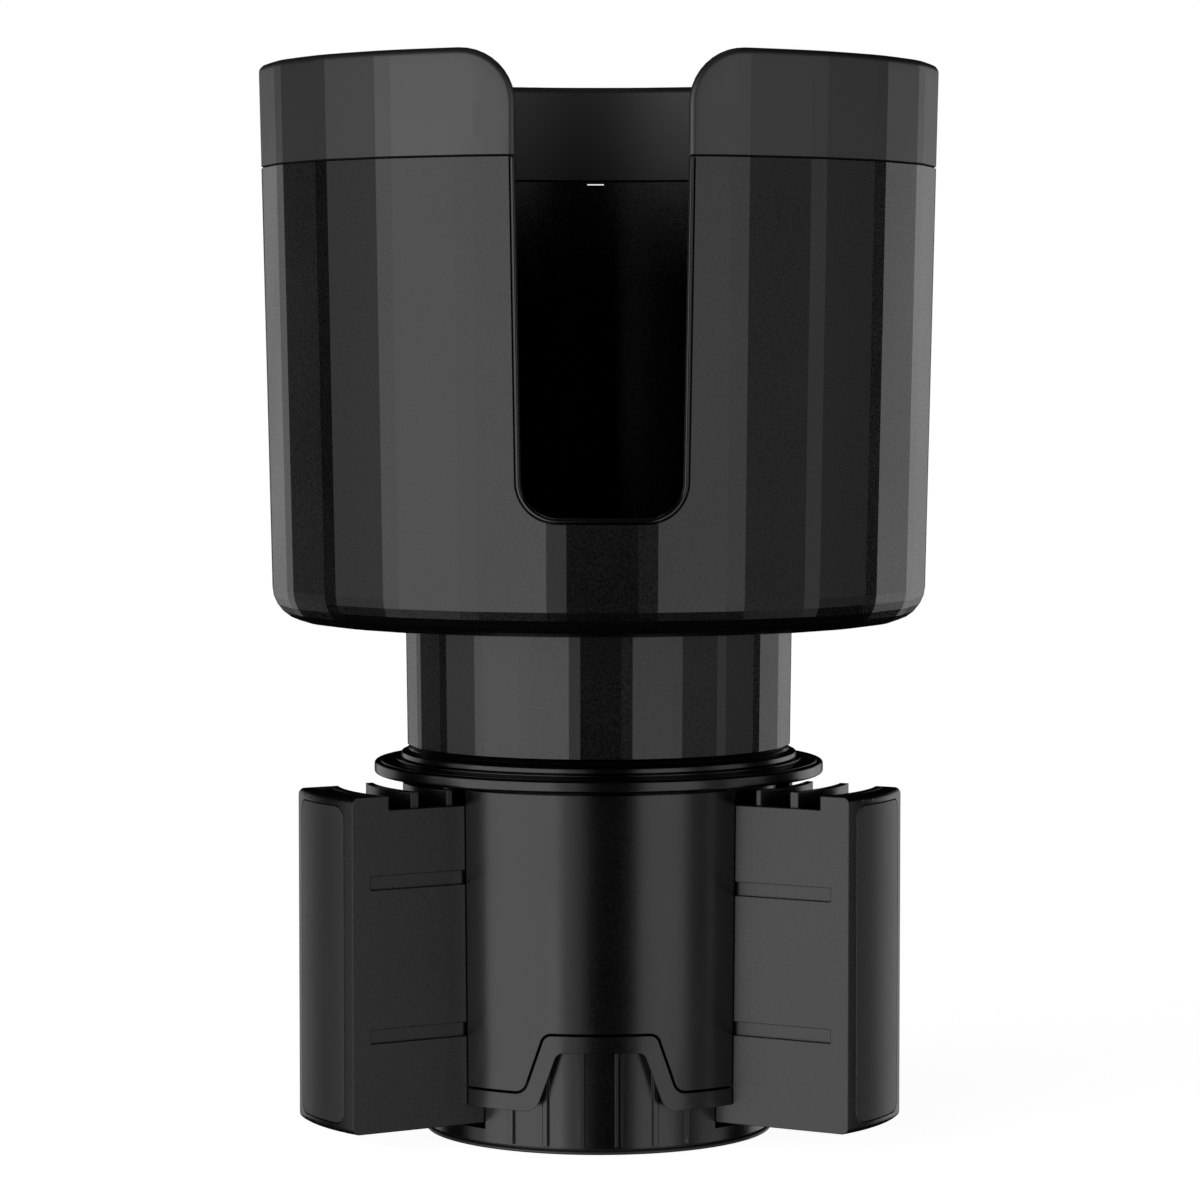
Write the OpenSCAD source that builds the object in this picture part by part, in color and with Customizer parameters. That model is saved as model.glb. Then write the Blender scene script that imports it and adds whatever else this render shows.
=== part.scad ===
// Car cup holder adapter: a wide faceted cup on a base whose three jaws
// spread inside the car's own cup holder when the cup is turned.
// Millimetres. +Z up, -Y towards the handle slot, origin under the foot.

// Piece to build; "all" builds every piece in place

/* [Cup] */
// Corner radius of the faceted cup at the rim
cup_rim_radius = 54.65; // [54:0.05:55.5]
// How much the corner radius shrinks from the rim to the underside
cup_taper = 1.95; // [1.25:0.05:2.45]
// Height of the textured cup shell
shell_height = 72.4; // [68:0.2:78]
// Height of the smooth rim ring
ring_height = 16.4; // [13:0.2:19]
// Wall thickness of ring and shell
cup_wall = 2.3; // [2.1:0.05:2.6]
// Thickness of the cup floor
cup_floor = 2.5; // [2.2:0.1:3]
// Rounding of the lower outside edge of the cup
bottom_round = 5.5; // [4:0.25:7]
// Angle taken by each wide facet, of every 15 degrees
facet_angle = 11.7; // [10.5:0.1:13]
// Wall left at the facet corners beside the straight seat at the bottom
seat_wall = 2.6; // [2.6:0.05:3.2]

/* [Handle slot] */
// Width of the slot in the shell at the seam below the ring
slot_top_width = 28; // [26:0.2:30]
// Width of the slot in the shell near its lower end
slot_low_width = 26.5; // [25:0.1:27]
// Height of the slot's lower edge above the cup's underside
slot_lift = 17.3; // [16:0.1:22]
// Radius of the slot's lower corners
slot_corner = 6.5; // [5:0.25:8]
// Radius of the ring's upper corners beside the slot
ring_corner = 8.5; // [6:0.25:10]
// Width of the trim bead that lines the slot
trim_width = 1.02; // [0.8:0.02:1.2]

/* [Neck and scroll disc] */
// Corner radius of the faceted neck at its lower end
neck_radius = 31.1; // [30.8:0.05:31.6]
// Height of the neck from the scroll disc to the cup
neck_height = 20.7; // [18:0.1:24]
// Radius of the scroll disc's flange
flange_radius = 36.42; // [36:0.02:38]
// Thickness of the flange
flange_thick = 2; // [1.8:0.1:2.4]
// Radius of the collar between the disc and the neck
collar_radius = 32.5; // [31.8:0.1:33.5]
// Distance between two turns of the scroll rib
scroll_pitch = 6; // [5.8:0.1:6.2]
// Thickness of the scroll rib
scroll_rib = 1.6; // [1.3:0.1:1.8]

/* [Jaws] */
// Width of one jaw
jaw_width = 18.6; // [17.6:0.1:19]
// Height of one jaw
jaw_height = 52.8; // [48:0.2:56]
// Radius of the jaws' outer face about the axis when closed
jaw_face_radius = 34.6; // [34.2:0.1:35.2]
// Travel of each jaw from closed to spread
jaw_travel = 16.5; // [15:0.5:16.5]
// Wall thickness of a jaw
jaw_wall = 1.6; // [1.4:0.1:1.8]
// Thickness of a tooth at its middle
tooth_thick = 1.6; // [1.3:0.1:1.8]
// Thickness of the grip pad on each jaw
pad_thick = 1; // [0.8:0.1:1.2]

/* [Base] */
// Outer radius of the housing at its top
housing_radius = 31.5; // [31.3:0.05:32]
// Wall thickness of the housing
housing_wall = 2; // [1.8:0.1:2.2]
// Outer radius of the recessed ribbed foot
foot_radius = 28.2; // [27.6:0.1:28.6]
// Height of the flush band around the ribbed foot
band_height = 2.65; // [2.4:0.05:3.6]
// Height of the band's lower edge above the ground
band_low = 7.1; // [6:0.1:8]
// How far the band steps up in the middle of each side
band_step = 9.4; // [8:0.2:12]
// Width of the groove between the band and the housing wall above it
seam_gap = 0.4; // [0.2:0.05:0.6]

/* [Hidden] */
$fn = 96;

// Fits
touch_gap = 0.15;
run_gap = 0.06;
slide_gap = 0.25;
lift_gap = 0.1;
cut = 1;

// Heights, from the ground up
pad_groove = 0.4;
pad_strip = 0.55;
pad_z = pad_strip + pad_groove;
shoe_plate = 1.55;
housing_floor = 1.2;
floor_z = pad_z + shoe_plate;
sill_z = floor_z + 0.55;
deck_z = floor_z + housing_floor;
jaw_z = deck_z + 0.3;
jaw_top = jaw_z + jaw_height;
disc_z = jaw_top + 1;
housing_top = disc_z - 0.8;
flange_top = disc_z + flange_thick;
step_top = flange_top + 0.45;
collar_z = step_top + touch_gap;
collar_top = collar_z + 0.9;
boss_top = flange_top + 2.2;
neck_z = boss_top + 0.6;
cup_z = boss_top + neck_height;
seam_z = cup_z + shell_height;
rim_z = seam_z + ring_height;

// Cup and handle slot
cup_base_radius = cup_rim_radius - cup_taper;
seat_radius = cup_base_radius - seat_wall;
slot_z = cup_z + slot_lift;
bar_near = seat_radius - 20;
bar_far = cup_rim_radius + 15;

// Scroll: the rib winds outwards counter-clockwise seen from above
scroll_base = 26.4;
scroll_end = 28.5;
scroll_start = 6.4;
rib_depth = 2.9;
rib_low = disc_z - rib_depth;
scroll_offset = scroll_pitch / (2 * PI);
tooth_top = jaw_top + 0.3;
wall_top = rib_low - 0.3;
boss_radius = neck_radius - 1;
boss_bore = 20.5;
hub_radius = 8;

// Base
side_azimuth = [-90, 30, 150];
column_radius = 5;
spigot_radius = 3.2;
spigot_top = flange_top + 1.25;
post_radius = 20;
post_outer = 5.6;
post_spigot = 4.2;
skirt_radius = foot_radius - 2 - touch_gap;
skirt_wall = 1.5;
channel_wall = 1.4;
channel_start = 4;

// Edges of the band in the front view: half width below, half width above,
// rounding below, rounding above
band_edge_low = [10.2, 6.84, 2.5, 1.5];
band_edge_high = [12.04, 8.84, 1.95, 1.65];

// Jaws; azimuth and middle of the outermost tooth when spread, midway
// between two turns of the rib
half_jaw = jaw_width / 2;
half_window = half_jaw + slide_gap;
jaw_inner = jaw_travel + column_radius + 0.8;
jaw_outer = jaw_travel + jaw_face_radius;
jaw_azimuth = [-150, -30, 90];
jaw_first_tooth = [for (k = [0:2]) scroll_base + scroll_pitch * [13, 15, 11][k] / 6];
jaw_teeth = [3, 4, 3];
tooth_setback = 1;
inner_wall = 1.4;
rail_start = jaw_inner + 5.8;
rail_end = jaw_outer - 4.4;
rail_height = 2.2;
rail_depth = 0.6;
rail_low = 14.1;
rail_high = [36.3, 38.2];
pad_margin = 1.4;

// Screws
screw_radius = 1.5;
head_radius = 2.9;
head_height = 1.5;
head_sink = 0.2;
tip_depth = 5;
cup_screw_ring = 25;
cup_screw_seat = cup_z + cup_floor - head_sink - head_height;
neck_screw_ring = 25.6;
neck_floor = 2.2;
neck_roof = 4.4;
shoe_screw_seat = pad_z + head_height + head_sink;

// Radius of the faceted cup at a height
function cup_radius(z) = cup_base_radius
    + (cup_rim_radius - cup_base_radius) * (z - cup_z) / (rim_z - cup_z);

// Corners of the faceted outline: a wide and a narrow facet every 15 degrees
function facet_corners(r) = [for (k = [0:23]) for (s = [-1, 1])
    let (a = 15 * k + s * facet_angle / 2) [r * cos(a), r * sin(a)]];

// Faceted prism whose corner radius changes evenly with height
module facet_prism(low_radius, high_radius, height) {
    linear_extrude(height = height, scale = high_radius / low_radius)
        polygon(facet_corners(low_radius));
}

// Part of the cup's faceted cone between two heights, moved in by an inset
module cup_facets(from_z, to_z, inset = 0) {
    translate([0, 0, from_z])
        facet_prism(cup_radius(from_z) - inset, cup_radius(to_z) - inset, to_z - from_z);
}

// Ring of rectangular section
module tube(inner, outer, from_z, to_z) {
    translate([0, 0, from_z])
        difference() {
            cylinder(r = outer, h = to_z - from_z);
            translate([0, 0, -cut])
                cylinder(r = inner, h = to_z - from_z + 2 * cut);
        }
}

// Upright hole or pin at a radius and azimuth
module pin(azimuth, ring, radius, from_z, to_z) {
    rotate([0, 0, azimuth])
        translate([ring, 0, from_z])
            cylinder(r = radius, h = to_z - from_z, $fn = 32);
}

// Pan head screw with a cross recess, standing in a ring of three
module pan_screw(azimuth, ring, radius, head, under_head, head_height, tip) {
    rotate([0, 0, azimuth])
        translate([ring, 0, 0])
            difference() {
                union() {
                    translate([0, 0, tip])
                        cylinder(r = radius, h = under_head - tip, $fn = 32);
                    translate([0, 0, under_head])
                        cylinder(r1 = head, r2 = head - 0.5, h = head_height, $fn = 32);
                }
                for (a = [0, 90])
                    translate([0, 0, under_head + head_height])
                        rotate([0, 0, a])
                            cube([head * 1.1, 0.7, 2 * head_height * 0.55], center = true);
            }
}

// Outline of the handle slot, seen from the front: x across, y up
module slot_outline(inset) {
    top = slot_top_width / 2 - inset;
    low = slot_low_width / 2 - inset;
    corner = slot_corner - inset;
    bottom = slot_z + inset;
    polygon([[-top, seam_z], [top, seam_z], [low, bottom + corner], [low - corner, bottom],
        [-low + corner, bottom], [-low, bottom + corner]]);
    for (s = [-1, 1])
        translate([s * (low - corner), bottom + corner])
            circle(r = corner);
}

// Turns an outline drawn in x and z into a bar through the front wall
module through_front(near = bar_near, far = bar_far) {
    translate([0, -near, 0])
        rotate([90, 0, 0])
            linear_extrude(height = far - near)
                children();
}

// Opening in the ring above the slot, with rounded corners at the rim
module ring_opening_outline() {
    half = slot_top_width / 2 - trim_width;
    translate([-half, seam_z - 10])
        square([2 * half, ring_height + 20]);
    difference() {
        translate([-half - ring_corner, rim_z - ring_corner])
            square([2 * (half + ring_corner), ring_corner + 5]);
        for (s = [-1, 1])
            translate([s * (half + ring_corner), rim_z - ring_corner])
                circle(r = ring_corner);
        for (s = [-1, 1])
            translate([s * (half + ring_corner + 5), rim_z - ring_corner])
                square([10, 20], center = true);
    }
}

// Section of the ring wall with its full-round lip
module ring_section() {
    lip = cup_wall / 2;
    top_middle = cup_radius(rim_z) - lip;
    low_outer = cup_radius(seam_z) + 0.02;
    polygon([[low_outer - cup_wall, seam_z], [low_outer, seam_z],
        [top_middle + lip, rim_z - lip], [top_middle - lip, rim_z - lip]]);
    translate([top_middle, rim_z - lip])
        circle(r = lip, $fn = 48);
}

// Smooth rim ring, open at the front, with a tongue that locates in the shell
module rim_ring() {
    groove = 0.3;
    middle = cup_radius(seam_z) - cup_wall / 2;
    color([0.06, 0.06, 0.065])
        difference() {
            union() {
                intersection() {
                    rotate_extrude()
                        ring_section();
                    cup_facets(seam_z + groove, rim_z);
                }
                intersection() {
                    tube(middle - cup_wall / 2 + groove, middle + cup_wall, seam_z, seam_z + groove);
                    cup_facets(seam_z, seam_z + groove, groove);
                }
                tube(middle - 0.4, middle + 0.4, seam_z - 3, seam_z + 0.1);
            }
            through_front()
                ring_opening_outline();
            through_front()
                translate([-slot_top_width / 2 - 2, seam_z - 5])
                    square([slot_top_width + 4, 5]);
        }
}

// Textured cup shell with the handle slot, the straight seat and the floor
module cup_shell() {
    middle = cup_radius(seam_z) - cup_wall / 2;
    seat_top = slot_z - 5;
    color([0.05, 0.05, 0.053])
        difference() {
            cup_body();
            translate([0, 0, cup_z + cup_floor])
                cylinder(r = seat_radius, h = shell_height);
            translate([0, 0, seat_top])
                cylinder(r1 = cup_radius(seat_top) - cup_wall, r2 = cup_radius(seam_z) - cup_wall,
                    h = seam_z - seat_top + 0.001);
            tube(middle - 0.5, middle + 0.5, seam_z - 3.3, seam_z + cut);
            through_front()
                slot_outline(0);
            through_front(near = -bar_far, far = -bar_near)
                translate([-1.45, seam_z - 0.5])
                    square([2.9, 1]);
            for (a = [30, 150, 270])
                pin(a, cup_screw_ring, screw_radius + 0.2, cup_z - cut, cup_z + cup_floor + cut);
            for (a = [30, 150, 270])
                pin(a, cup_screw_ring, head_radius + 0.4, cup_screw_seat, cup_z + cup_floor + cut);
        }
}

// Solid faceted body of the shell, lofted so that its bottom rounding follows
// the facets
module cup_body() {
    steps = 6;
    sides = 48;
    arc = [for (k = [0:steps]) let (a = 90 * k / steps, z = cup_z + bottom_round * (1 - cos(a)))
        [z, cup_radius(z) - bottom_round * (1 - sin(a))]];
    levels = concat(arc, [[seam_z, cup_radius(seam_z)]]);
    polyhedron(
        points = [for (l = levels) for (p = facet_corners(l[1])) [p[0], p[1], l[0]]],
        faces = concat(
            [[for (i = [0:sides - 1]) i]],
            [for (k = [0:len(levels) - 2]) for (i = [0:sides - 1]) let (n = (i + 1) % sides)
                [k * sides + i, (k + 1) * sides + i, (k + 1) * sides + n, k * sides + n]],
            [[for (i = [sides - 1:-1:0]) (len(levels) - 1) * sides + i]]));
}

// Trim bead that lines the handle slot below the ring
module slot_trim() {
    inner = cup_radius(cup_z) - cup_wall - 0.6;
    color([0.09, 0.09, 0.095])
        for (layer = [[0.02, 0.6], [0.24, 0]])
            intersection() {
                cup_facets(cup_z, seam_z - touch_gap, layer[1]);
                difference() {
                    through_front()
                        slot_outline(layer[0]);
                    through_front(near = bar_near - cut, far = bar_far + cut)
                        slot_outline(trim_width - layer[0] + 0.02);
                    translate([0, 0, cup_z])
                        cylinder(r1 = inner, r2 = cup_radius(seam_z) - cup_wall, h = shell_height);
                }
            }
}

// Screws that hold the cup's floor to the neck
module cup_screws() {
    color([0.7, 0.7, 0.72])
        for (a = [30, 150, 270])
            pan_screw(a, cup_screw_ring, screw_radius, head_radius, cup_screw_seat, head_height,
                cup_z - tip_depth);
}

// Faceted neck between the scroll disc and the cup
module neck() {
    top_radius = neck_radius + 0.25;
    color([0.05, 0.05, 0.053])
        difference() {
            union() {
                translate([0, 0, neck_z])
                    facet_prism(neck_radius, top_radius, cup_z - neck_z);
                translate([0, 0, boss_top])
                    cylinder(r = boss_radius, h = neck_z - boss_top + 0.4);
            }
            translate([0, 0, boss_top + neck_floor])
                cylinder(r = neck_radius - 2.6, h = cup_z - boss_top - neck_roof - neck_floor);
            translate([0, 0, boss_top - cut])
                cylinder(r = 15, h = neck_floor + 2 * cut);
            translate([0, 0, cup_z - neck_roof - cut])
                cylinder(r = 19, h = neck_roof + 2 * cut);
            for (a = [90, 210, 330])
                pin(a, neck_screw_ring, screw_radius + 0.2, boss_top - cut, boss_top + neck_floor + cut);
            for (a = [90, 210, 330])
                pin(a, neck_screw_ring - 1.6, 3.4, cup_z - neck_roof - cut, cup_z + cut);
            for (a = [30, 150, 270])
                pin(a, cup_screw_ring, screw_radius, cup_z - tip_depth, cup_z + cut);
        }
}

// Plain collar on the disc's boss, under the neck
module collar() {
    color([0.07, 0.07, 0.075])
        tube(boss_radius, collar_radius, collar_z, collar_top);
}

// Centre line of the scroll rib: an even spiral, angles from the disc's +X
function scroll_radius(angle) = scroll_base + scroll_pitch * (angle + 30) / 360;
function scroll_angle(radius) = (radius - scroll_base) / scroll_pitch * 360 - 30;

// The scroll rib seen from above
module scroll_outline() {
    first = scroll_angle(scroll_start);
    last = scroll_angle(scroll_end);
    steps = ceil((last - first) / 6);
    outer = [for (k = [0:steps]) let (a = first + (last - first) * k / steps,
        r = scroll_radius(a) + scroll_rib / 2) [r * cos(a), r * sin(a)]];
    inner = [for (k = [steps:-1:0]) let (a = first + (last - first) * k / steps,
        r = scroll_radius(a) - scroll_rib / 2) [r * cos(a), r * sin(a)]];
    polygon(concat(outer, inner));
}

// Scroll disc: flange, boss for the neck, hub and the spiral rib underneath
module scroll_disc() {
    edge = 0.5;
    color([0.07, 0.07, 0.075])
        difference() {
            union() {
                rotate_extrude() {
                    translate([0, disc_z])
                        square([flange_radius - edge, flange_thick]);
                    translate([0, disc_z + edge])
                        square([flange_radius, flange_thick - 2 * edge]);
                    for (z = [disc_z + edge, flange_top - edge])
                        translate([flange_radius - edge, z])
                            circle(r = edge, $fn = 32);
                }
                tube(boss_bore, boss_radius, flange_top - 0.5, boss_top);
                tube(boss_radius - cut, collar_radius + 0.3, flange_top - 0.5, step_top);
                translate([0, 0, disc_z])
                    cylinder(r = hub_radius, h = spigot_top - disc_z - 0.05);
                translate([0, 0, rib_low])
                    linear_extrude(height = rib_depth + 0.5)
                        scroll_outline();
            }
            translate([0, 0, rib_low])
                cylinder(r = spigot_radius + run_gap, h = 20);
            for (a = [90, 210, 330])
                pin(a, neck_screw_ring, screw_radius, disc_z + 0.8, boss_top + cut);
        }
}

// Screws that hold the neck to the scroll disc
module neck_screws() {
    color([0.7, 0.7, 0.72])
        for (a = [90, 210, 330])
            pan_screw(a, neck_screw_ring, screw_radius, head_radius - 0.3, boss_top + neck_floor,
                head_height, disc_z + 0.8);
}

// Washer that keeps the disc on the column's spigot
module pivot_washer() {
    color([0.75, 0.75, 0.77])
        tube(2, 6.5, spigot_top, spigot_top + 1);
}

// Screw in the column about which the cup turns
module pivot_screw() {
    color([0.7, 0.7, 0.72])
        pan_screw(0, 0, 2, 4, spigot_top + 1, 2.2, disc_z - 14);
}

// Points along an arc about a centre
function arc_points(x, y, radius, from_angle, to_angle, steps = 8) = [for (k = [0:steps])
    let (a = from_angle + (to_angle - from_angle) * k / steps) [x + radius * cos(a), y + radius * sin(a)]];

// Space under an edge of the band, seen from the front: low at both ends, high
// in the middle, with rounded corners; "grow" moves the edge outwards
module band_outline(low, edge, grow) {
    lean = atan((edge[0] - edge[1]) / band_step);
    reach = tan((90 - lean) / 2);
    bottom = low + grow;
    high = bottom + band_step;
    foot_round = edge[2] - grow;
    top_round = edge[3] + grow;
    foot_x = edge[0] + (grow + foot_round) * reach;
    top_x = edge[1] + (grow - top_round) * reach;
    right = concat(arc_points(top_x, high - top_round, top_round, 90, lean),
        arc_points(foot_x, bottom + foot_round, foot_round, 180 + lean, 270),
        [[housing_radius, bottom], [housing_radius, -5]]);
    left = [for (i = [len(right) - 1:-1:0]) [-right[i][0], right[i][1]]];
    polygon(concat(right, left));
}

// Space under an edge of the band as a bar on each of the base's three sides
module band_steps(low, edge, grow = 0) {
    for (a = side_azimuth)
        rotate([0, 0, a + 90])
            through_front(near = skirt_radius / 2 - cut, far = housing_radius + 5)
                band_outline(low, edge, grow);
}

// Three radial windows in which the jaws slide
module jaw_windows(from_z) {
    for (a = jaw_azimuth)
        rotate([0, 0, a])
            translate([0, -half_window, from_z])
                cube([housing_radius + 10, 2 * half_window, disc_z]);
}

// Outer wall of the housing, cut along the step of the band
module housing_wall_ring() {
    wall_low = band_low + band_height + seam_gap;
    inner = housing_radius - housing_wall;
    difference() {
        rotate_extrude()
            polygon([[inner, wall_low], [housing_radius - 0.4, wall_low],
                [housing_radius, housing_top], [inner, housing_top]]);
        band_steps(band_low + band_height + seam_gap / 2, band_edge_high, seam_gap / 2);
    }
}

// Base housing: three hollow shells that stand on the floor plate, one between
// each two jaws, each with its two channel walls and the post that a screw enters
module base_housing() {
    ledge_z = band_low + band_height + band_step + 1.4;
    color([0.06, 0.06, 0.063])
        difference() {
            union() {
                difference() {
                    union() {
                        housing_wall_ring();
                        tube(skirt_radius - skirt_wall, skirt_radius, floor_z + 0.5, ledge_z + 1);
                        tube(skirt_radius - skirt_wall, housing_radius - 1, ledge_z, ledge_z + 1.5);
                        channel_walls();
                        for (a = side_azimuth)
                            pin(a, post_radius, post_outer, floor_z + 0.8, 18);
                    }
                    jaw_windows(0);
                }
                guide_nubs();
            }
            cylinder(r = skirt_radius - skirt_wall / 2, h = deck_z + touch_gap);
            for (a = side_azimuth)
                pin(a, post_radius, post_spigot + 0.1, 0, floor_z + 2);
            for (a = side_azimuth)
                pin(a, post_radius, screw_radius, floor_z, 14);
        }
}

// Floor plate that the jaws slide on, with the pivot column in its middle
module slide_floor() {
    color([0.06, 0.06, 0.063])
        difference() {
            union() {
                translate([0, 0, floor_z])
                    cylinder(r = skirt_radius - skirt_wall - touch_gap, h = housing_floor);
                translate([0, 0, floor_z + 0.5])
                    cylinder(r = column_radius, h = disc_z - lift_gap - floor_z - 0.5);
                translate([0, 0, disc_z - 1])
                    cylinder(r = spigot_radius, h = spigot_top - disc_z + 1);
            }
            pin(0, 0, 2, disc_z - 14, spigot_top + cut);
            for (a = side_azimuth)
                pin(a, post_radius, post_spigot + 0.1, 0, deck_z + cut);
        }
}

// Walls beside each jaw, low enough to clear the scroll rib
module channel_walls() {
    low = floor_z + 0.8;
    step = band_low + band_height + band_step + 2.2;
    top = wall_top - 0.2;
    half = half_window + channel_wall;
    low_end = sqrt(pow(skirt_radius - 0.2, 2) - half * half);
    high_end = housing_radius - housing_wall - 0.5;
    for (a = jaw_azimuth)
        rotate([0, 0, a])
            translate([channel_start, -half, 0]) {
                translate([0, 0, low])
                    cube([low_end - channel_start, 2 * half, step - low + 0.5]);
                translate([0, 0, step])
                    cube([high_end - channel_start, 2 * half, top - step]);
            }
}

// Nubs in the window sides that run in the rails of the jaws
module guide_nubs() {
    depth = slide_gap + rail_depth - 0.2;
    height = rail_height - 0.3;
    for (a = jaw_azimuth)
        rotate([0, 0, a])
            for (side = [0, 1])
                for (z = [rail_low, rail_high[side]])
                    translate([housing_radius - 3.2, side == 0 ? -half_window - 0.1 : half_window - depth,
                        jaw_z + z + 0.15])
                        cube([1.3, depth + 0.1, height]);
}

// Shoe under the housing: plate, ribbed skirt and the flush stepped band
module base_shoe() {
    band_top = band_low + band_height;
    above = band_top + band_step + 5;
    color([0.06, 0.06, 0.063])
        difference() {
            union() {
                translate([0, 0, pad_z])
                    cylinder(r = foot_radius, h = shoe_plate);
                difference() {
                    intersection() {
                        union() {
                            tube(foot_radius - 2, foot_radius, pad_z, above);
                            foot_ribs(above);
                            difference() {
                                tube(foot_radius - 1, housing_radius - 0.4, pad_z, above);
                                band_steps(band_low, band_edge_low);
                            }
                        }
                        band_steps(band_top + seam_gap / 2, band_edge_high, -seam_gap / 2);
                    }
                    jaw_windows(sill_z);
                }
                for (a = side_azimuth)
                    pin(a, post_radius, post_spigot, pad_z, floor_z + 2);
            }
            for (a = side_azimuth)
                pin(a, post_radius, screw_radius + 0.1, 0, floor_z + 3);
            for (a = side_azimuth)
                pin(a, post_radius, head_radius + 0.2, 0, shoe_screw_seat);
        }
}

// Upright grip ribs on the recessed part of the shoe, narrower outside
module foot_ribs(top_z) {
    rib_angle = 11.8;
    for (a = side_azimuth)
        for (k = [-3:2])
            rotate([0, 0, a + rib_angle * (k + 0.5)])
                translate([foot_radius, 0, pad_z + 0.3])
                    linear_extrude(height = top_z - pad_z - 0.3)
                        polygon([[-0.5, -0.8], [0.55, -0.35], [0.55, 0.35], [-0.5, 0.8]]);
}

// Screws that hold the shoe to the housing
module shoe_screws() {
    color([0.7, 0.7, 0.72])
        for (a = side_azimuth)
            rotate([0, 0, a])
                translate([post_radius, 0, shoe_screw_seat])
                    rotate([180, 0, 0])
                        pan_screw(0, 0, screw_radius, head_radius, 0, head_height, -9);
}

// Anti-slip pad under the shoe, set back above its visible strip
module foot_pad() {
    edge = 0.15;
    inner = foot_radius - 0.9;
    color([0.12, 0.12, 0.12])
        rotate_extrude()
            polygon([[0, 0], [foot_radius - edge, 0], [foot_radius, edge], [foot_radius, pad_strip - edge],
                [foot_radius - edge, pad_strip], [inner, pad_strip], [inner, pad_z], [0, pad_z]]);
}

// Curved tooth of a jaw, thinner towards its ends so that it clears every turn
module tooth(middle, half_length, from_z, to_z) {
    outer = middle - jaw_travel + tooth_thick / 2;
    inner = scroll_end + 0.5;
    intersection() {
        translate([middle + tooth_thick / 2 - outer, scroll_offset, from_z])
            cylinder(r = outer, h = to_z - from_z);
        difference() {
            translate([middle - 10, -half_length, from_z])
                cube([15, 2 * half_length, to_z - from_z]);
            translate([middle - tooth_thick / 2 - inner, scroll_offset, from_z - cut])
                cylinder(r = inner, h = to_z - from_z + 2 * cut);
        }
    }
}

// Outline solid of a jaw: flat sides, round outer face with softened edges
module jaw_block(inset = 0) {
    radius = jaw_face_radius - inset;
    edge = 1;
    intersection() {
        translate([jaw_travel, 0, 0])
            rotate_extrude() {
                translate([0, jaw_z])
                    square([radius - edge, jaw_height]);
                translate([0, jaw_z + edge])
                    square([radius, jaw_height - 2 * edge]);
                for (z = [jaw_z + edge, jaw_top - edge])
                    translate([radius - edge, z])
                        circle(r = edge, $fn = 32);
            }
        translate([jaw_inner, -half_jaw, 0])
            cube([jaw_outer, jaw_width, disc_z]);
    }
}

// Pad outline on the outer face: x across, y up, with rounded corners
module pad_outline(inset) {
    half = half_jaw - 2 - inset;
    low = jaw_z + pad_margin + inset;
    high = jaw_top - pad_margin - inset;
    corner = 2.2 - inset;
    translate([-half, low + corner])
        square([2 * half, high - low - 2 * corner]);
    translate([-half + corner, low])
        square([2 * (half - corner), high - low]);
    for (s = [-1, 1])
        for (z = [low + corner, high - corner])
            translate([s * (half - corner), z])
                circle(r = corner, $fn = 32);
}

// Bar through the outer face of a jaw in the shape of its pad
module pad_bar(inset) {
    translate([jaw_outer - 10, 0, 0])
        rotate([90, 0, 90])
            linear_extrude(height = 20)
                pad_outline(inset);
}

// Space of the pad between the recess floor and the outer face
module pad_shell(inner_radius, outer_radius) {
    translate([jaw_travel, 0, 0])
        tube(inner_radius, outer_radius, 0, disc_z);
}

// Jaw number 0 to 2 along +X in its spread position
module jaw_solid(index) {
    first = jaw_first_tooth[index];
    wall_middle = first + scroll_pitch;
    notch = scroll_end + 0.5;
    inner_face = wall_middle - inner_wall / 2;
    difference() {
        union() {
            difference() {
                jaw_block();
                jaw_pocket();
                translate([inner_face - notch, scroll_offset, wall_top])
                    cylinder(r = notch, h = disc_z);
                translate([0, -jaw_width, wall_top])
                    cube([wall_middle - 5, 2 * jaw_width, disc_z]);
            }
            intersection() {
                jaw_block();
                difference() {
                    translate([inner_face + inner_wall - notch, scroll_offset, jaw_z])
                        cylinder(r = notch, h = disc_z);
                    translate([inner_face - notch, scroll_offset, 0])
                        cylinder(r = notch, h = 2 * disc_z);
                    translate([0, -jaw_width, 0])
                        cube([wall_middle - 8, 2 * jaw_width, 2 * disc_z]);
                }
            }
            for (k = [0:jaw_teeth[index] - 1])
                let (middle = first - k * scroll_pitch)
                    tooth(middle, min(half_jaw - tooth_setback, 0.62 * (middle - jaw_travel)),
                        jaw_z + 0.5, tooth_top);
        }
        for (side = [0, 1])
            for (z = [rail_low, rail_high[side]])
                translate([rail_start, side == 0 ? -half_jaw - cut : half_jaw - rail_depth, jaw_z + z])
                    cube([rail_end - rail_start, rail_depth + cut, rail_height]);
        intersection() {
            pad_bar(0);
            pad_shell(jaw_face_radius - pad_thick, jaw_face_radius + cut);
        }
    }
}

// Hollow of a jaw, open at the top
module jaw_pocket() {
    floor_top = jaw_z + jaw_wall;
    intersection() {
        translate([jaw_travel, 0, floor_top])
            cylinder(r = jaw_face_radius - pad_thick - inner_wall, h = disc_z);
        translate([jaw_inner + jaw_wall, -half_jaw + jaw_wall, floor_top])
            cube([jaw_outer, jaw_width - 2 * jaw_wall, disc_z]);
    }
}

// Grip pad of a jaw along +X, flush with the outer face
module pad_solid() {
    intersection() {
        pad_bar(touch_gap);
        pad_shell(jaw_face_radius - pad_thick, jaw_face_radius);
    }
}

// Jaw on the left of the slot
module jaw_left() {
    color([0.08, 0.08, 0.085])
        rotate([0, 0, jaw_azimuth[0]])
            jaw_solid(0);
}

// Jaw on the right of the slot
module jaw_right() {
    color([0.08, 0.08, 0.085])
        rotate([0, 0, jaw_azimuth[1]])
            jaw_solid(1);
}

// Jaw behind
module jaw_rear() {
    color([0.08, 0.08, 0.085])
        rotate([0, 0, jaw_azimuth[2]])
            jaw_solid(2);
}

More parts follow.
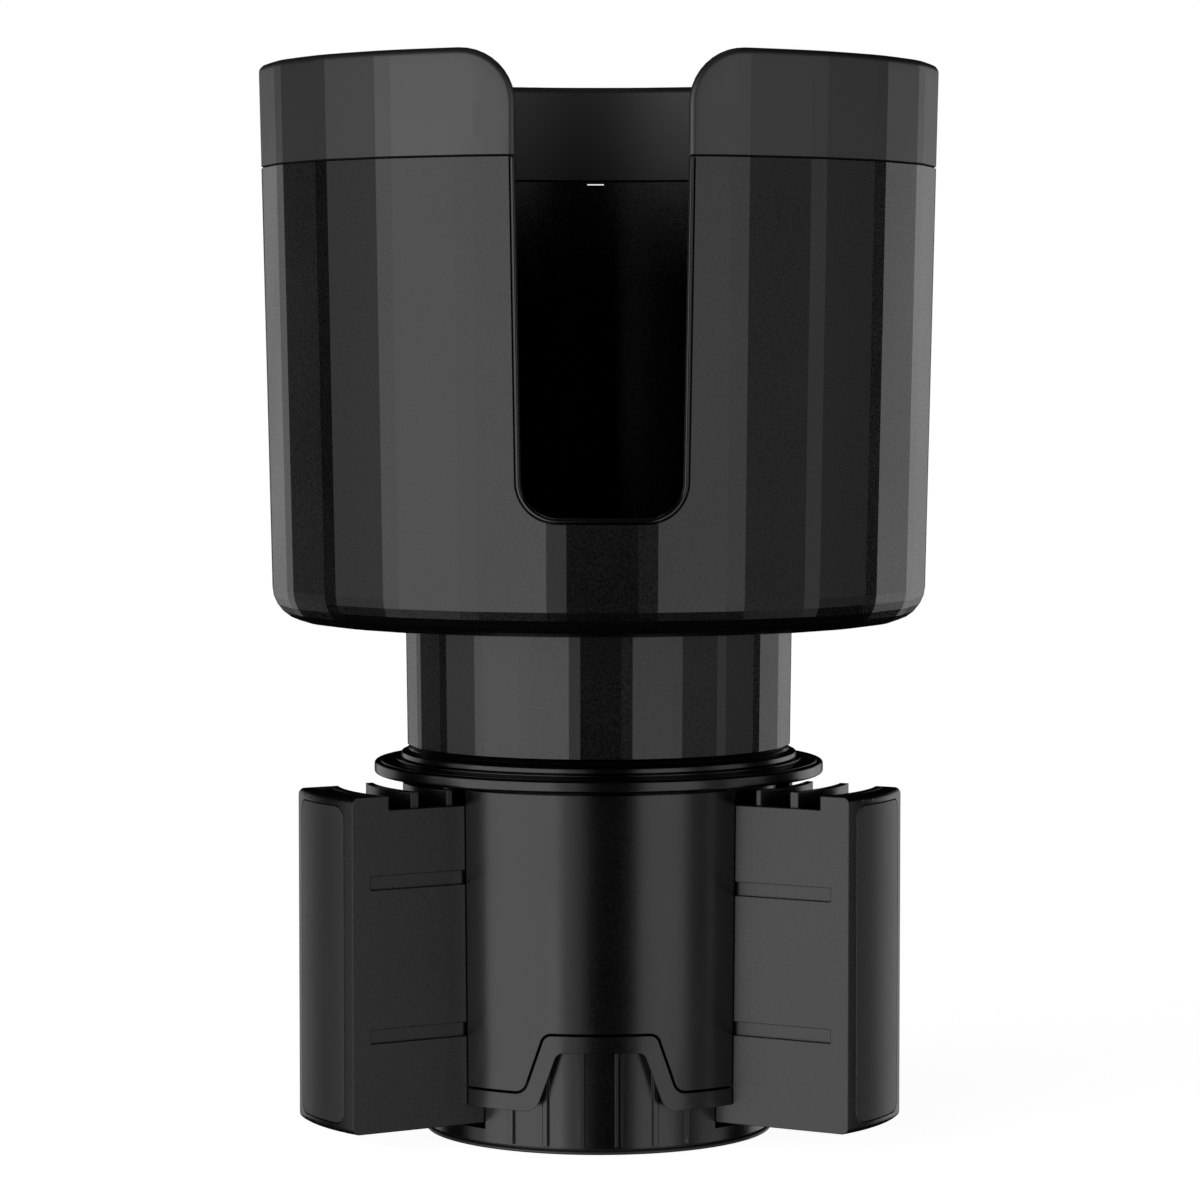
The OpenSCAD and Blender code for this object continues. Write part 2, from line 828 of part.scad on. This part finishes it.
// Grip pad of the left jaw
module pad_left() {
    color([0.15, 0.15, 0.155])
        rotate([0, 0, jaw_azimuth[0]])
            pad_solid();
}

// Grip pad of the right jaw
module pad_right() {
    color([0.15, 0.15, 0.155])
        rotate([0, 0, jaw_azimuth[1]])
            pad_solid();
}

// Grip pad of the rear jaw
module pad_rear() {
    color([0.15, 0.15, 0.155])
        rotate([0, 0, jaw_azimuth[2]])
            pad_solid();
}

rim_ring();
cup_shell();
slot_trim();
cup_screws();
neck();
collar();
scroll_disc();
neck_screws();
pivot_washer();
pivot_screw();
base_housing();
slide_floor();
base_shoe();
shoe_screws();
foot_pad();
jaw_left();
jaw_right();
jaw_rear();
pad_left();
pad_right();
pad_rear();
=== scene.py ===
"""Looks of the car cup holder adapter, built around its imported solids.

The faceted cup is lined up with the photograph: the handle slot faces -Y, the
axis is Z, and the foot stands on the floor at z = 0. Lengths are written in
millimetres and turned into metres by MM.
"""
import math

import bmesh
import bpy
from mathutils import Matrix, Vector


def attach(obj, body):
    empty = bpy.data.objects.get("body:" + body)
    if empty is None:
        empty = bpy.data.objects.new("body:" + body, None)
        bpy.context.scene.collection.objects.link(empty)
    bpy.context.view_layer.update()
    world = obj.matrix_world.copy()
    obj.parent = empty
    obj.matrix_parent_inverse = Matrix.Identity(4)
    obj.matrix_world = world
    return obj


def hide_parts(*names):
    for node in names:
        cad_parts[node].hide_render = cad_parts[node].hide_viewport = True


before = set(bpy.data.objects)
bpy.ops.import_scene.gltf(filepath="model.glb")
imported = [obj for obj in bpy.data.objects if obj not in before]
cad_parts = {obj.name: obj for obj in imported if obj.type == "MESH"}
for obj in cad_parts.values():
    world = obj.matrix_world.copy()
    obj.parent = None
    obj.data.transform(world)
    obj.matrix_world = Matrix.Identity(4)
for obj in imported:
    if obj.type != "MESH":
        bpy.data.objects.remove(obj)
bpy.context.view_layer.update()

MM = 0.001

# Dimensions in mm, the same as in the solids. Corner radii of the cup's outline
# are at its rim and at its underside; the slot's halves at its top and its foot.
CUP_Z, SEAM_Z, RIM_Z = 82.7, 155.1, 171.5
RIM_RADIUS, BASE_RADIUS = 54.65, 52.7
FACET_HALF = math.radians(11.7 / 2)
FACET_PITCH = math.radians(15)
CUP_WALL = 2.3
SLOT_TOP_HALF, SLOT_LOW_HALF = 14.0, 13.25
SLOT_Z, SLOT_CORNER = 100.0, 6.5
TRIM_WIDTH = 1.02
RING_CORNER = 8.5
SEAM_GROOVE, SEAM_DEPTH = 0.35, 0.8


def linear(hex_colour):
    """Linear RGBA of an sRGB colour such as 1a1a1c."""
    parts = [int(hex_colour[i:i + 2], 16) / 255 for i in (0, 2, 4)]
    return [c / 12.92 if c <= 0.04045 else ((c + 0.055) / 1.055) ** 2.4 for c in parts] + [1.0]


def add(tree, kind, inputs=None, **settings):
    """Adds a node with its settings; an input is a value or a socket to link."""
    node = tree.nodes.new(kind)
    for name, value in settings.items():
        setattr(node, name, value)
    for name, value in (inputs or {}).items():
        if isinstance(value, bpy.types.NodeSocket):
            tree.links.new(value, node.inputs[name])
        else:
            node.inputs[name].default_value = value
    return node


def surface_tree(name):
    """A new material, its empty node tree and the object coordinate in metres."""
    material = bpy.data.materials.new(name)
    material.use_nodes = True
    tree = material.node_tree
    tree.nodes.clear()
    return material, tree, add(tree, "ShaderNodeTexCoord").outputs["Object"]


# Materials

def moulded_plastic(name, dark, light, roughness, grain, depth, spread, ior=1.52, edge=0.15):
    """Injection-moulded plastic.

    dark, light: hex colours the surface drifts between, as pigment and flow vary.
    grain: size in mm of the cells that the mould's eroded steel leaves.
    depth: height in mm of that grain. spread: how far it moves the roughness.
    edge: radius in mm to which the mould rounds every edge.
    """
    material, tree, where = surface_tree(name)
    cells = add(tree, "ShaderNodeTexNoise", {
        "Vector": where, "Scale": 1 / (grain * MM), "Detail": 3.0, "Roughness": 0.6})
    flow = add(tree, "ShaderNodeTexNoise", {
        "Vector": where, "Scale": 1 / (24 * MM), "Detail": 2.0, "Roughness": 0.5})
    colour = add(tree, "ShaderNodeMix", {
        0: cells.outputs["Fac"], 6: linear(dark), 7: linear(light)}, data_type="RGBA")
    grain_rough = add(tree, "ShaderNodeMapRange", {
        "Value": cells.outputs["Fac"], "From Min": 0.3, "From Max": 0.7,
        "To Min": roughness - spread, "To Max": roughness + spread})
    flow_rough = add(tree, "ShaderNodeMapRange", {
        "Value": flow.outputs["Fac"], "From Min": 0.3, "From Max": 0.7,
        "To Min": -0.02, "To Max": 0.02})
    rough = add(tree, "ShaderNodeMath", {0: grain_rough.outputs[0], 1: flow_rough.outputs[0]})
    rounded = add(tree, "ShaderNodeBevel", {"Radius": edge * MM}, samples=6)
    bump = add(tree, "ShaderNodeBump", {
        "Height": cells.outputs["Fac"], "Strength": 1.0, "Distance": depth * MM,
        "Normal": rounded.outputs[0]})
    shader = add(tree, "ShaderNodeBsdfPrincipled", {
        "Base Color": colour.outputs[2], "Roughness": rough.outputs[0], "IOR": ior,
        "Normal": bump.outputs[0]})
    add(tree, "ShaderNodeOutputMaterial", {"Surface": shader.outputs[0]})
    return material


def zinc_steel():
    """Steel screws and washer, cold-headed and zinc plated: bright, faintly clouded."""
    material, tree, where = surface_tree("zinc_plated_steel")
    cloud = add(tree, "ShaderNodeTexNoise", {
        "Vector": where, "Scale": 1 / (0.9 * MM), "Detail": 4.0, "Roughness": 0.6})
    colour = add(tree, "ShaderNodeMix", {
        0: cloud.outputs["Fac"], 6: linear("b4b6b9"), 7: linear("d6d8da")}, data_type="RGBA")
    rough = add(tree, "ShaderNodeMapRange", {
        "Value": cloud.outputs["Fac"], "From Min": 0.3, "From Max": 0.7,
        "To Min": 0.22, "To Max": 0.36})
    bump = add(tree, "ShaderNodeBump", {
        "Height": cloud.outputs["Fac"], "Strength": 1.0, "Distance": 0.004 * MM})
    shader = add(tree, "ShaderNodeBsdfPrincipled", {
        "Base Color": colour.outputs[2], "Metallic": 1.0, "Roughness": rough.outputs[0],
        "Normal": bump.outputs[0]})
    add(tree, "ShaderNodeOutputMaterial", {"Surface": shader.outputs[0]})
    return material


# Black ABS out of a spark-eroded mould: the cells scatter the edge of each
# highlight into a fine speckle. Real cells are about 0.1 mm; 0.35 mm shows.
grained_abs = moulded_plastic(
    "spark_grained_abs", "020202", "080808", 0.26, 0.35, 0.006, 0.06, edge=0.05)
# Black ABS out of a fine-stoned mould: even satin with long soft gradients.
satin_abs = moulded_plastic(
    "satin_moulded_abs", "1f1f20", "262627", 0.44, 0.5, 0.002, 0.02, 1.7, edge=0.05)
# Its bead along the slot, from the polished lip of the same mould.
bead_abs = moulded_plastic(
    "polished_bead_abs", "020202", "060606", 0.20, 0.5, 0.002, 0.02, edge=0.05)
# The same ABS on the base, from a plainer tool: a little more open.
base_abs = moulded_plastic("plain_moulded_abs", "020202", "080808", 0.22, 0.45, 0.004, 0.03)
# Jaw sides: flat walls that carry a fine texture, so that they don't scuff.
jaw_abs = moulded_plastic("jaw_moulded_abs", "040404", "0a0a0a", 0.30, 0.30, 0.008, 0.06, edge=0.25)
# Soft thermoplastic rubber over the jaws' faces and under the foot: matt.
grip_rubber = moulded_plastic("moulded_grip_rubber", "262626", "303030", 0.42, 0.4, 0.004, 0.04, 1.5)
steel = zinc_steel()

FINISH = {
    "rim_ring": satin_abs, "cup_shell": grained_abs, "slot_trim": satin_abs, "neck": grained_abs,
    "collar": base_abs, "scroll_disc": base_abs,
    "base_housing": base_abs, "slide_floor": base_abs, "base_shoe": base_abs,
    "jaw_left": jaw_abs, "jaw_right": jaw_abs, "jaw_rear": jaw_abs,
    "pad_left": grip_rubber, "pad_right": grip_rubber, "pad_rear": grip_rubber,
    "foot_pad": grip_rubber,
    "cup_screws": steel, "neck_screws": steel, "shoe_screws": steel,
    "pivot_screw": steel, "pivot_washer": steel,
}
for name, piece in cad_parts.items():
    for slot in piece.material_slots:
        slot.material = FINISH[name]


# Outline of the cup. Angles run from the slot (-Y) towards +X, in radians.

def cup_radius(z):
    """Corner radius of the faceted cup at a height, in mm."""
    return BASE_RADIUS + (RIM_RADIUS - BASE_RADIUS) * (z - CUP_Z) / (RIM_Z - CUP_Z)


def from_facet_middle(angle):
    """Angle between a direction and the middle of the nearest wide facet."""
    return abs((angle + FACET_PITCH / 2) % FACET_PITCH - FACET_PITCH / 2)


def facet_radius(angle, corner_radius):
    """Radius of the faceted outline at an angle: wide and narrow flats in turn."""
    a = from_facet_middle(angle)
    if a <= FACET_HALF:
        return corner_radius * math.cos(FACET_HALF) / math.cos(a)
    narrow = FACET_PITCH / 2 - FACET_HALF
    return corner_radius * math.cos(narrow) / math.cos(FACET_PITCH / 2 - a)


def angles_at_x(x, z):
    """Angles at which the outer and the inner face of the wall stand at an x."""
    rounds = 8
    outer = 0.0
    for _ in range(rounds):
        outer = math.asin(x / facet_radius(outer, cup_radius(z)))
    return outer, math.asin(x / (cup_radius(z) - CUP_WALL))


def wall_point(angles, z, across, inset=0.0):
    """Point in the wall: across is 1 on the outer face and -1 on the inner one."""
    outer, inner = angles
    outer_radius, inner_radius = facet_radius(outer, cup_radius(z)), cup_radius(z) - CUP_WALL
    out = Vector((math.sin(outer), -math.cos(outer), 0)) * outer_radius
    back = Vector((math.sin(inner), -math.cos(inner), 0)) * inner_radius
    most = 1 - 2 * inset / (out - back).length
    across = max(-most, min(most, across))
    point = (out + back) / 2 + (out - back) / 2 * across
    point.z = z
    return point


def grid(bm, rows):
    """Quads between neighbouring rows of points in mm; gives back the vertices."""
    made = [[bm.verts.new(Vector(p) * MM) for p in row] for row in rows]
    for low, high in zip(made, made[1:]):
        for i in range(len(low) - 1):
            bm.faces.new((low[i], low[i + 1], high[i + 1], high[i]))
    return made


def finish_mesh(bm, name, material, crease=lambda point: False):
    """Welds the grids, shades them smooth but for creases, and makes the piece.

    An edge is creased where it is steep, or where both ends pass the crease test.
    """
    weld, steep_angle = 0.002 * MM, math.radians(38)
    bmesh.ops.remove_doubles(bm, verts=bm.verts, dist=weld)
    bmesh.ops.recalc_face_normals(bm, faces=bm.faces)
    for face in bm.faces:
        face.smooth = True
    for edge in bm.edges:
        steep = len(edge.link_faces) == 2 and edge.calc_face_angle(0) > steep_angle
        edge.smooth = not (steep or all(crease(v.co / MM) for v in edge.verts))
    mesh = bpy.data.meshes.new(name)
    bm.to_mesh(mesh)
    bm.free()
    mesh.materials.append(material)
    piece = bpy.data.objects.new(name, mesh)
    bpy.context.scene.collection.objects.link(piece)
    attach(piece, "cup")
    return piece


def on_facet_corner(point):
    """Whether a point of the cup lies on an upright edge between two facets."""
    off_corner = from_facet_middle(math.atan2(point.x, -point.y)) - FACET_HALF
    off_face = math.hypot(point.x, point.y) - cup_radius(point.z)
    return abs(off_corner) < 1e-3 and abs(off_face) < 0.03


def make_rim_ring():
    """The ring with its lip rolled full round along the rim and down both slot edges.

    The lip's section, as distance from the edge and place across the wall, is
    swept up one slot edge, round its corner, along the rim and down the other.
    """
    lip = CUP_WALL / 2
    opening = SLOT_TOP_HALF - TRIM_WIDTH
    corner_x, corner_z = opening + RING_CORNER, RIM_Z - RING_CORNER
    flat = [RING_CORNER, 6.4, 4.3, 2.6]
    turn = [math.radians(a) for a in range(90, -91, -10)]
    section = ([(d, 1.0) for d in flat] + [(lip * (1 - math.cos(a)), math.sin(a)) for a in turn]
               + [(d, -1.0) for d in reversed(flat)])
    levels = [(SEAM_Z, SEAM_DEPTH)]
    levels += [(z, 0.0) for z in (SEAM_Z + SEAM_GROOVE, 157.3, 159.2, 161.1, corner_z)]
    bend_steps = 10
    first_column, ease_span = math.radians(24), math.radians(12.6)
    tongue = 0.28

    def column(angle, z):
        """Outer and inner angle of an upright line, eased in from the slot's own lines."""
        signed = angle if angle < math.pi else angle - 2 * math.pi
        outer, inner = angles_at_x(corner_x, z)
        ease = max(0.0, 1 - (abs(signed) - outer) / ease_span)
        return signed, signed + math.copysign((inner - outer) * ease, signed)

    angles = []
    for k in range(round(2 * math.pi / FACET_PITCH)):
        for a in (-1, -1 / 3, 1 / 3, 1):
            angle = k * FACET_PITCH + a * FACET_HALF
            if first_column < angle < 2 * math.pi - first_column:
                angles.append(angle)

    edge = {}
    for side in (1, -1):
        straight = [[wall_point(angles_at_x(side * (opening + d), z), z, w, inset) for d, w in section]
                    for z, inset in levels]
        bend = []
        for step in range(1, bend_steps + 1):
            a = math.pi - math.pi / 2 * step / bend_steps
            places = [(side * (corner_x + (RING_CORNER - d) * math.cos(a)),
                       corner_z + (RING_CORNER - d) * math.sin(a), w) for d, w in section]
            bend.append([wall_point(angles_at_x(x, z), z, w) for x, z, w in places])
        edge[side] = straight + bend
    top = [[wall_point(column(a, RIM_Z - d), RIM_Z - d, w) for d, w in section] for a in angles]

    bm = bmesh.new()
    made = grid(bm, edge[1] + top + edge[-1][::-1])
    bm.faces.new(made[0])
    bm.faces.new(made[-1])

    foot_z = SEAM_Z - tongue
    face_line = [(z, 1.0, inset) for z, inset in reversed(levels)]
    face_line += [(foot_z, 1.0, SEAM_DEPTH), (foot_z, -1.0, SEAM_DEPTH)]
    face_line += [(z, -1.0, inset) for z, inset in levels]
    field = [[wall_point(angles_at_x(corner_x, z), z, w, inset) for z, w, inset in face_line]]
    field += [[wall_point(column(a, z), z, w, inset) for z, w, inset in face_line] for a in angles]
    field += [[wall_point(angles_at_x(-corner_x, z), z, w, inset) for z, w, inset in face_line]]
    grid(bm, field)
    piece = finish_mesh(bm, "rim_ring_lipped", satin_abs, on_facet_corner)
    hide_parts("rim_ring")


def make_slot_bead():
    """Rounded bead along the slot, on a lower ledge that leaves a fine line beside it."""
    middle = TRIM_WIDTH / 2
    bead_half, bead_middle = 0.37, -0.24
    ledge, depth, side_gap, top_gap = -0.45, -2.0, 0.02, 0.15
    steps = 12
    corner, top_z = SLOT_CORNER - middle, SEAM_Z - top_gap
    centre_x, centre_z = SLOT_LOW_HALF - SLOT_CORNER, SLOT_Z + SLOT_CORNER
    lean = math.atan((SLOT_TOP_HALF - SLOT_LOW_HALF) / (SEAM_Z - centre_z))
    right = []
    for step in range(steps + 1):
        t = step / steps
        x = SLOT_TOP_HALF - middle + (SLOT_LOW_HALF - SLOT_TOP_HALF) * t
        right.append((x, top_z + (centre_z - top_z) * t, lean))
    for step in range(1, steps + 1):
        a = -math.pi / 2 * step / steps
        right.append((centre_x + corner * math.cos(a), centre_z + corner * math.sin(a), a))
    path = right + [(-x, z, math.pi - a) for x, z, a in reversed(right)]

    # Section as place across the bead and height over the cup's face.
    wide = middle - side_gap
    section = [(wide, depth), (wide, ledge), (bead_half, ledge)]
    section += [(bead_half * math.cos(a), bead_middle + bead_half * math.sin(a))
                for a in [math.pi * k / steps for k in range(steps + 1)]]
    section += [(-bead_half, ledge), (-wide, ledge), (-wide, depth)]

    rows = []
    for x, z, a in path:
        row = []
        for across, out in section:
            px, pz = x + across * math.cos(a), z + across * math.sin(a)
            angle = angles_at_x(px, pz)[0]
            row.append((px, -facet_radius(angle, cup_radius(pz)) * math.cos(angle) - out, pz))
        rows.append(row)
    bm = bmesh.new()
    made = grid(bm, rows)
    bm.faces.new(made[0])
    bm.faces.new(made[-1])
    piece = finish_mesh(bm, "slot_bead", bead_abs)
    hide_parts("slot_trim")


def make_collar():
    """Turned collar under the neck: a cone that falls to a narrow wall, and a fillet on the flange.

    Both are turned from profiles of radius and height in mm.
    """
    sides = 120
    cone = [(30.15, 62.5), (30.95, 61.95), (31.0, 61.8), (31.75, 61.36), (31.98, 61.27),
            (32.05, 61.15), (32.05, 60.5), (31.95, 60.42), (30.15, 60.42), (30.15, 62.5)]
    fillet = [(32.83, 60.12), (33.2, 60.04), (34.6, 59.86), (35.5, 59.81), (32.83, 59.805),
              (32.83, 60.12)]
    bm = bmesh.new()
    turn = [2 * math.pi * k / sides for k in range(sides + 1)]
    for profile in (cone, fillet):
        grid(bm, [[(r * math.sin(a), -r * math.cos(a), z) for r, z in profile] for a in turn])
    piece = finish_mesh(bm, "collar_coned", base_abs)
    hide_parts("collar")


# The stage

CURTAIN_LOW, CURTAIN_HIGH = -0.9, 2.1


def make_camera():
    """The photograph's camera: 130 mm lens, 0.7 m away, looking 3.4 degrees down."""
    data = bpy.data.cameras.new("camera")
    data.lens, data.sensor_width = 129.9, 36.0
    data.clip_start, data.clip_end = 0.01, 20.0
    camera = bpy.data.objects.new("camera", data)
    bpy.context.scene.collection.objects.link(camera)
    turn, pitch = math.radians(-0.6), math.radians(3.365)
    distance, height, aside = 701.5, 126.9, 0.21
    eye = Vector((math.sin(turn), -math.cos(turn), 0)) * distance
    eye.z = height
    level = Vector((-math.sin(turn), math.cos(turn), 0))
    ahead = level * math.cos(pitch) - Vector((0, 0, math.sin(pitch)))
    right = Vector((math.cos(turn), math.sin(turn), 0))
    camera.location = (eye + right * aside) * MM
    camera.rotation_mode = "QUATERNION"
    camera.rotation_quaternion = ahead.to_track_quat("-Z", "Y")
    bpy.context.scene.camera = camera


def softbox(name, azimuth, spread, radiance, low=CURTAIN_LOW, high=0.6):
    """Upright softbox seen from the object: azimuth 0 is the camera, 90 its right.

    spread is the angle in degrees that it fills, and low and high are its ends in m.
    One that goes down to the curtain's end is mirrored in the cup's lower rounding.
    """
    distance = 1.2
    width = 2 * distance * math.tan(math.radians(spread / 2))
    data = bpy.data.lights.new(name, "AREA")
    data.shape, data.size, data.size_y = "RECTANGLE", width, high - low
    data.energy = radiance * math.pi * width * (high - low)
    lamp = bpy.data.objects.new(name, data)
    bpy.context.scene.collection.objects.link(lamp)
    a = math.radians(azimuth)
    outward = Vector((math.sin(a), -math.cos(a), 0))
    lamp.location = outward * distance
    lamp.location.z = (low + high) / 2
    lamp.rotation_mode = "QUATERNION"
    lamp.rotation_quaternion = outward.to_track_quat("Z", "Y")
    lamp.visible_camera = False


def make_stage():
    """Pale floor, black curtain out of the camera's sight, softboxes and a white surround."""
    softbox("near_left", -18, 18, 0.72)
    softbox("key_left", -52, 58, 1.85)
    softbox("rim_left", -89, 12, 0.72)
    softbox("back_left", -143, 32, 0.6, low=-0.35, high=0.3)
    softbox("fill_right", 37, 30, 1.22)
    softbox("gap_right", 59, 12, 0.2)
    softbox("side_right", 79, 24, 0.7)
    softbox("rim_right", 131, 24, 1.08, low=-0.35, high=0.3)
    softbox("back_right", 151, 16, 0.6, low=-0.35, high=0.3)

    side, radiance = 0.6, 0.2
    top = bpy.data.lights.new("top", "AREA")
    top.shape, top.size = "SQUARE", side
    top.energy = radiance * math.pi * side ** 2
    lamp = bpy.data.objects.new("top", top)
    bpy.context.scene.collection.objects.link(lamp)
    lamp.location = (0, -0.1, 1.2)
    lamp.visible_camera = False

    bpy.ops.mesh.primitive_circle_add(vertices=96, radius=0.18, fill_type="NGON",
                                      location=(0, 0, -0.1 * MM))
    floor = bpy.context.object
    floor.name = "floor"
    material, tree, _ = surface_tree("pale_floor")
    diffuse = add(tree, "ShaderNodeBsdfDiffuse", {"Color": linear("e9e9e9")})
    glow = add(tree, "ShaderNodeEmission", {"Color": linear("ffffff"), "Strength": 0.93})
    both = add(tree, "ShaderNodeAddShader", {0: diffuse.outputs[0], 1: glow.outputs[0]})
    ray = add(tree, "ShaderNodeLightPath")
    pick = add(tree, "ShaderNodeMixShader", {
        0: ray.outputs["Is Camera Ray"], 1: diffuse.outputs[0], 2: both.outputs[0]})
    add(tree, "ShaderNodeOutputMaterial", {"Surface": pick.outputs[0]})
    floor.data.materials.append(material)
    # Plastic mirrors the softboxes below the floor too, so that it keeps its
    # grey down to the foot; the floor still takes the object's shadow.
    floor.visible_glossy = floor.visible_shadow = False

    bpy.ops.mesh.primitive_cylinder_add(
        vertices=48, radius=1.6, depth=CURTAIN_HIGH - CURTAIN_LOW, end_fill_type="NGON",
        location=(0, 0, (CURTAIN_LOW + CURTAIN_HIGH) / 2))
    curtain = bpy.context.object
    curtain.name = "curtain"
    material, tree, _ = surface_tree("black_felt")
    felt = add(tree, "ShaderNodeBsdfDiffuse", {"Color": linear("101010")})
    add(tree, "ShaderNodeOutputMaterial", {"Surface": felt.outputs[0]})
    curtain.data.materials.append(material)
    curtain.visible_camera = False

    world = bpy.data.worlds.new("surround")
    bpy.context.scene.world = world
    world.use_nodes = True
    tree = world.node_tree
    tree.nodes.clear()
    ray = add(tree, "ShaderNodeLightPath")
    seen = ray.outputs["Is Camera Ray"]
    for kind in ("Is Glossy Ray", "Is Transmission Ray"):
        either = add(tree, "ShaderNodeMath", {0: seen, 1: ray.outputs[kind]}, operation="MAXIMUM")
        seen = either.outputs[0]
    dim = add(tree, "ShaderNodeBackground", {"Color": linear("ffffff"), "Strength": 0.25})
    white = add(tree, "ShaderNodeBackground", {"Color": linear("ffffff"), "Strength": 1.0})
    pick = add(tree, "ShaderNodeMixShader", {0: seen, 1: dim.outputs[0], 2: white.outputs[0]})
    add(tree, "ShaderNodeOutputWorld", {"Surface": pick.outputs[0]})


bpy.context.scene.view_settings.view_transform = "Standard"
make_camera()
make_rim_ring()
make_slot_bead()
make_collar()
make_stage()
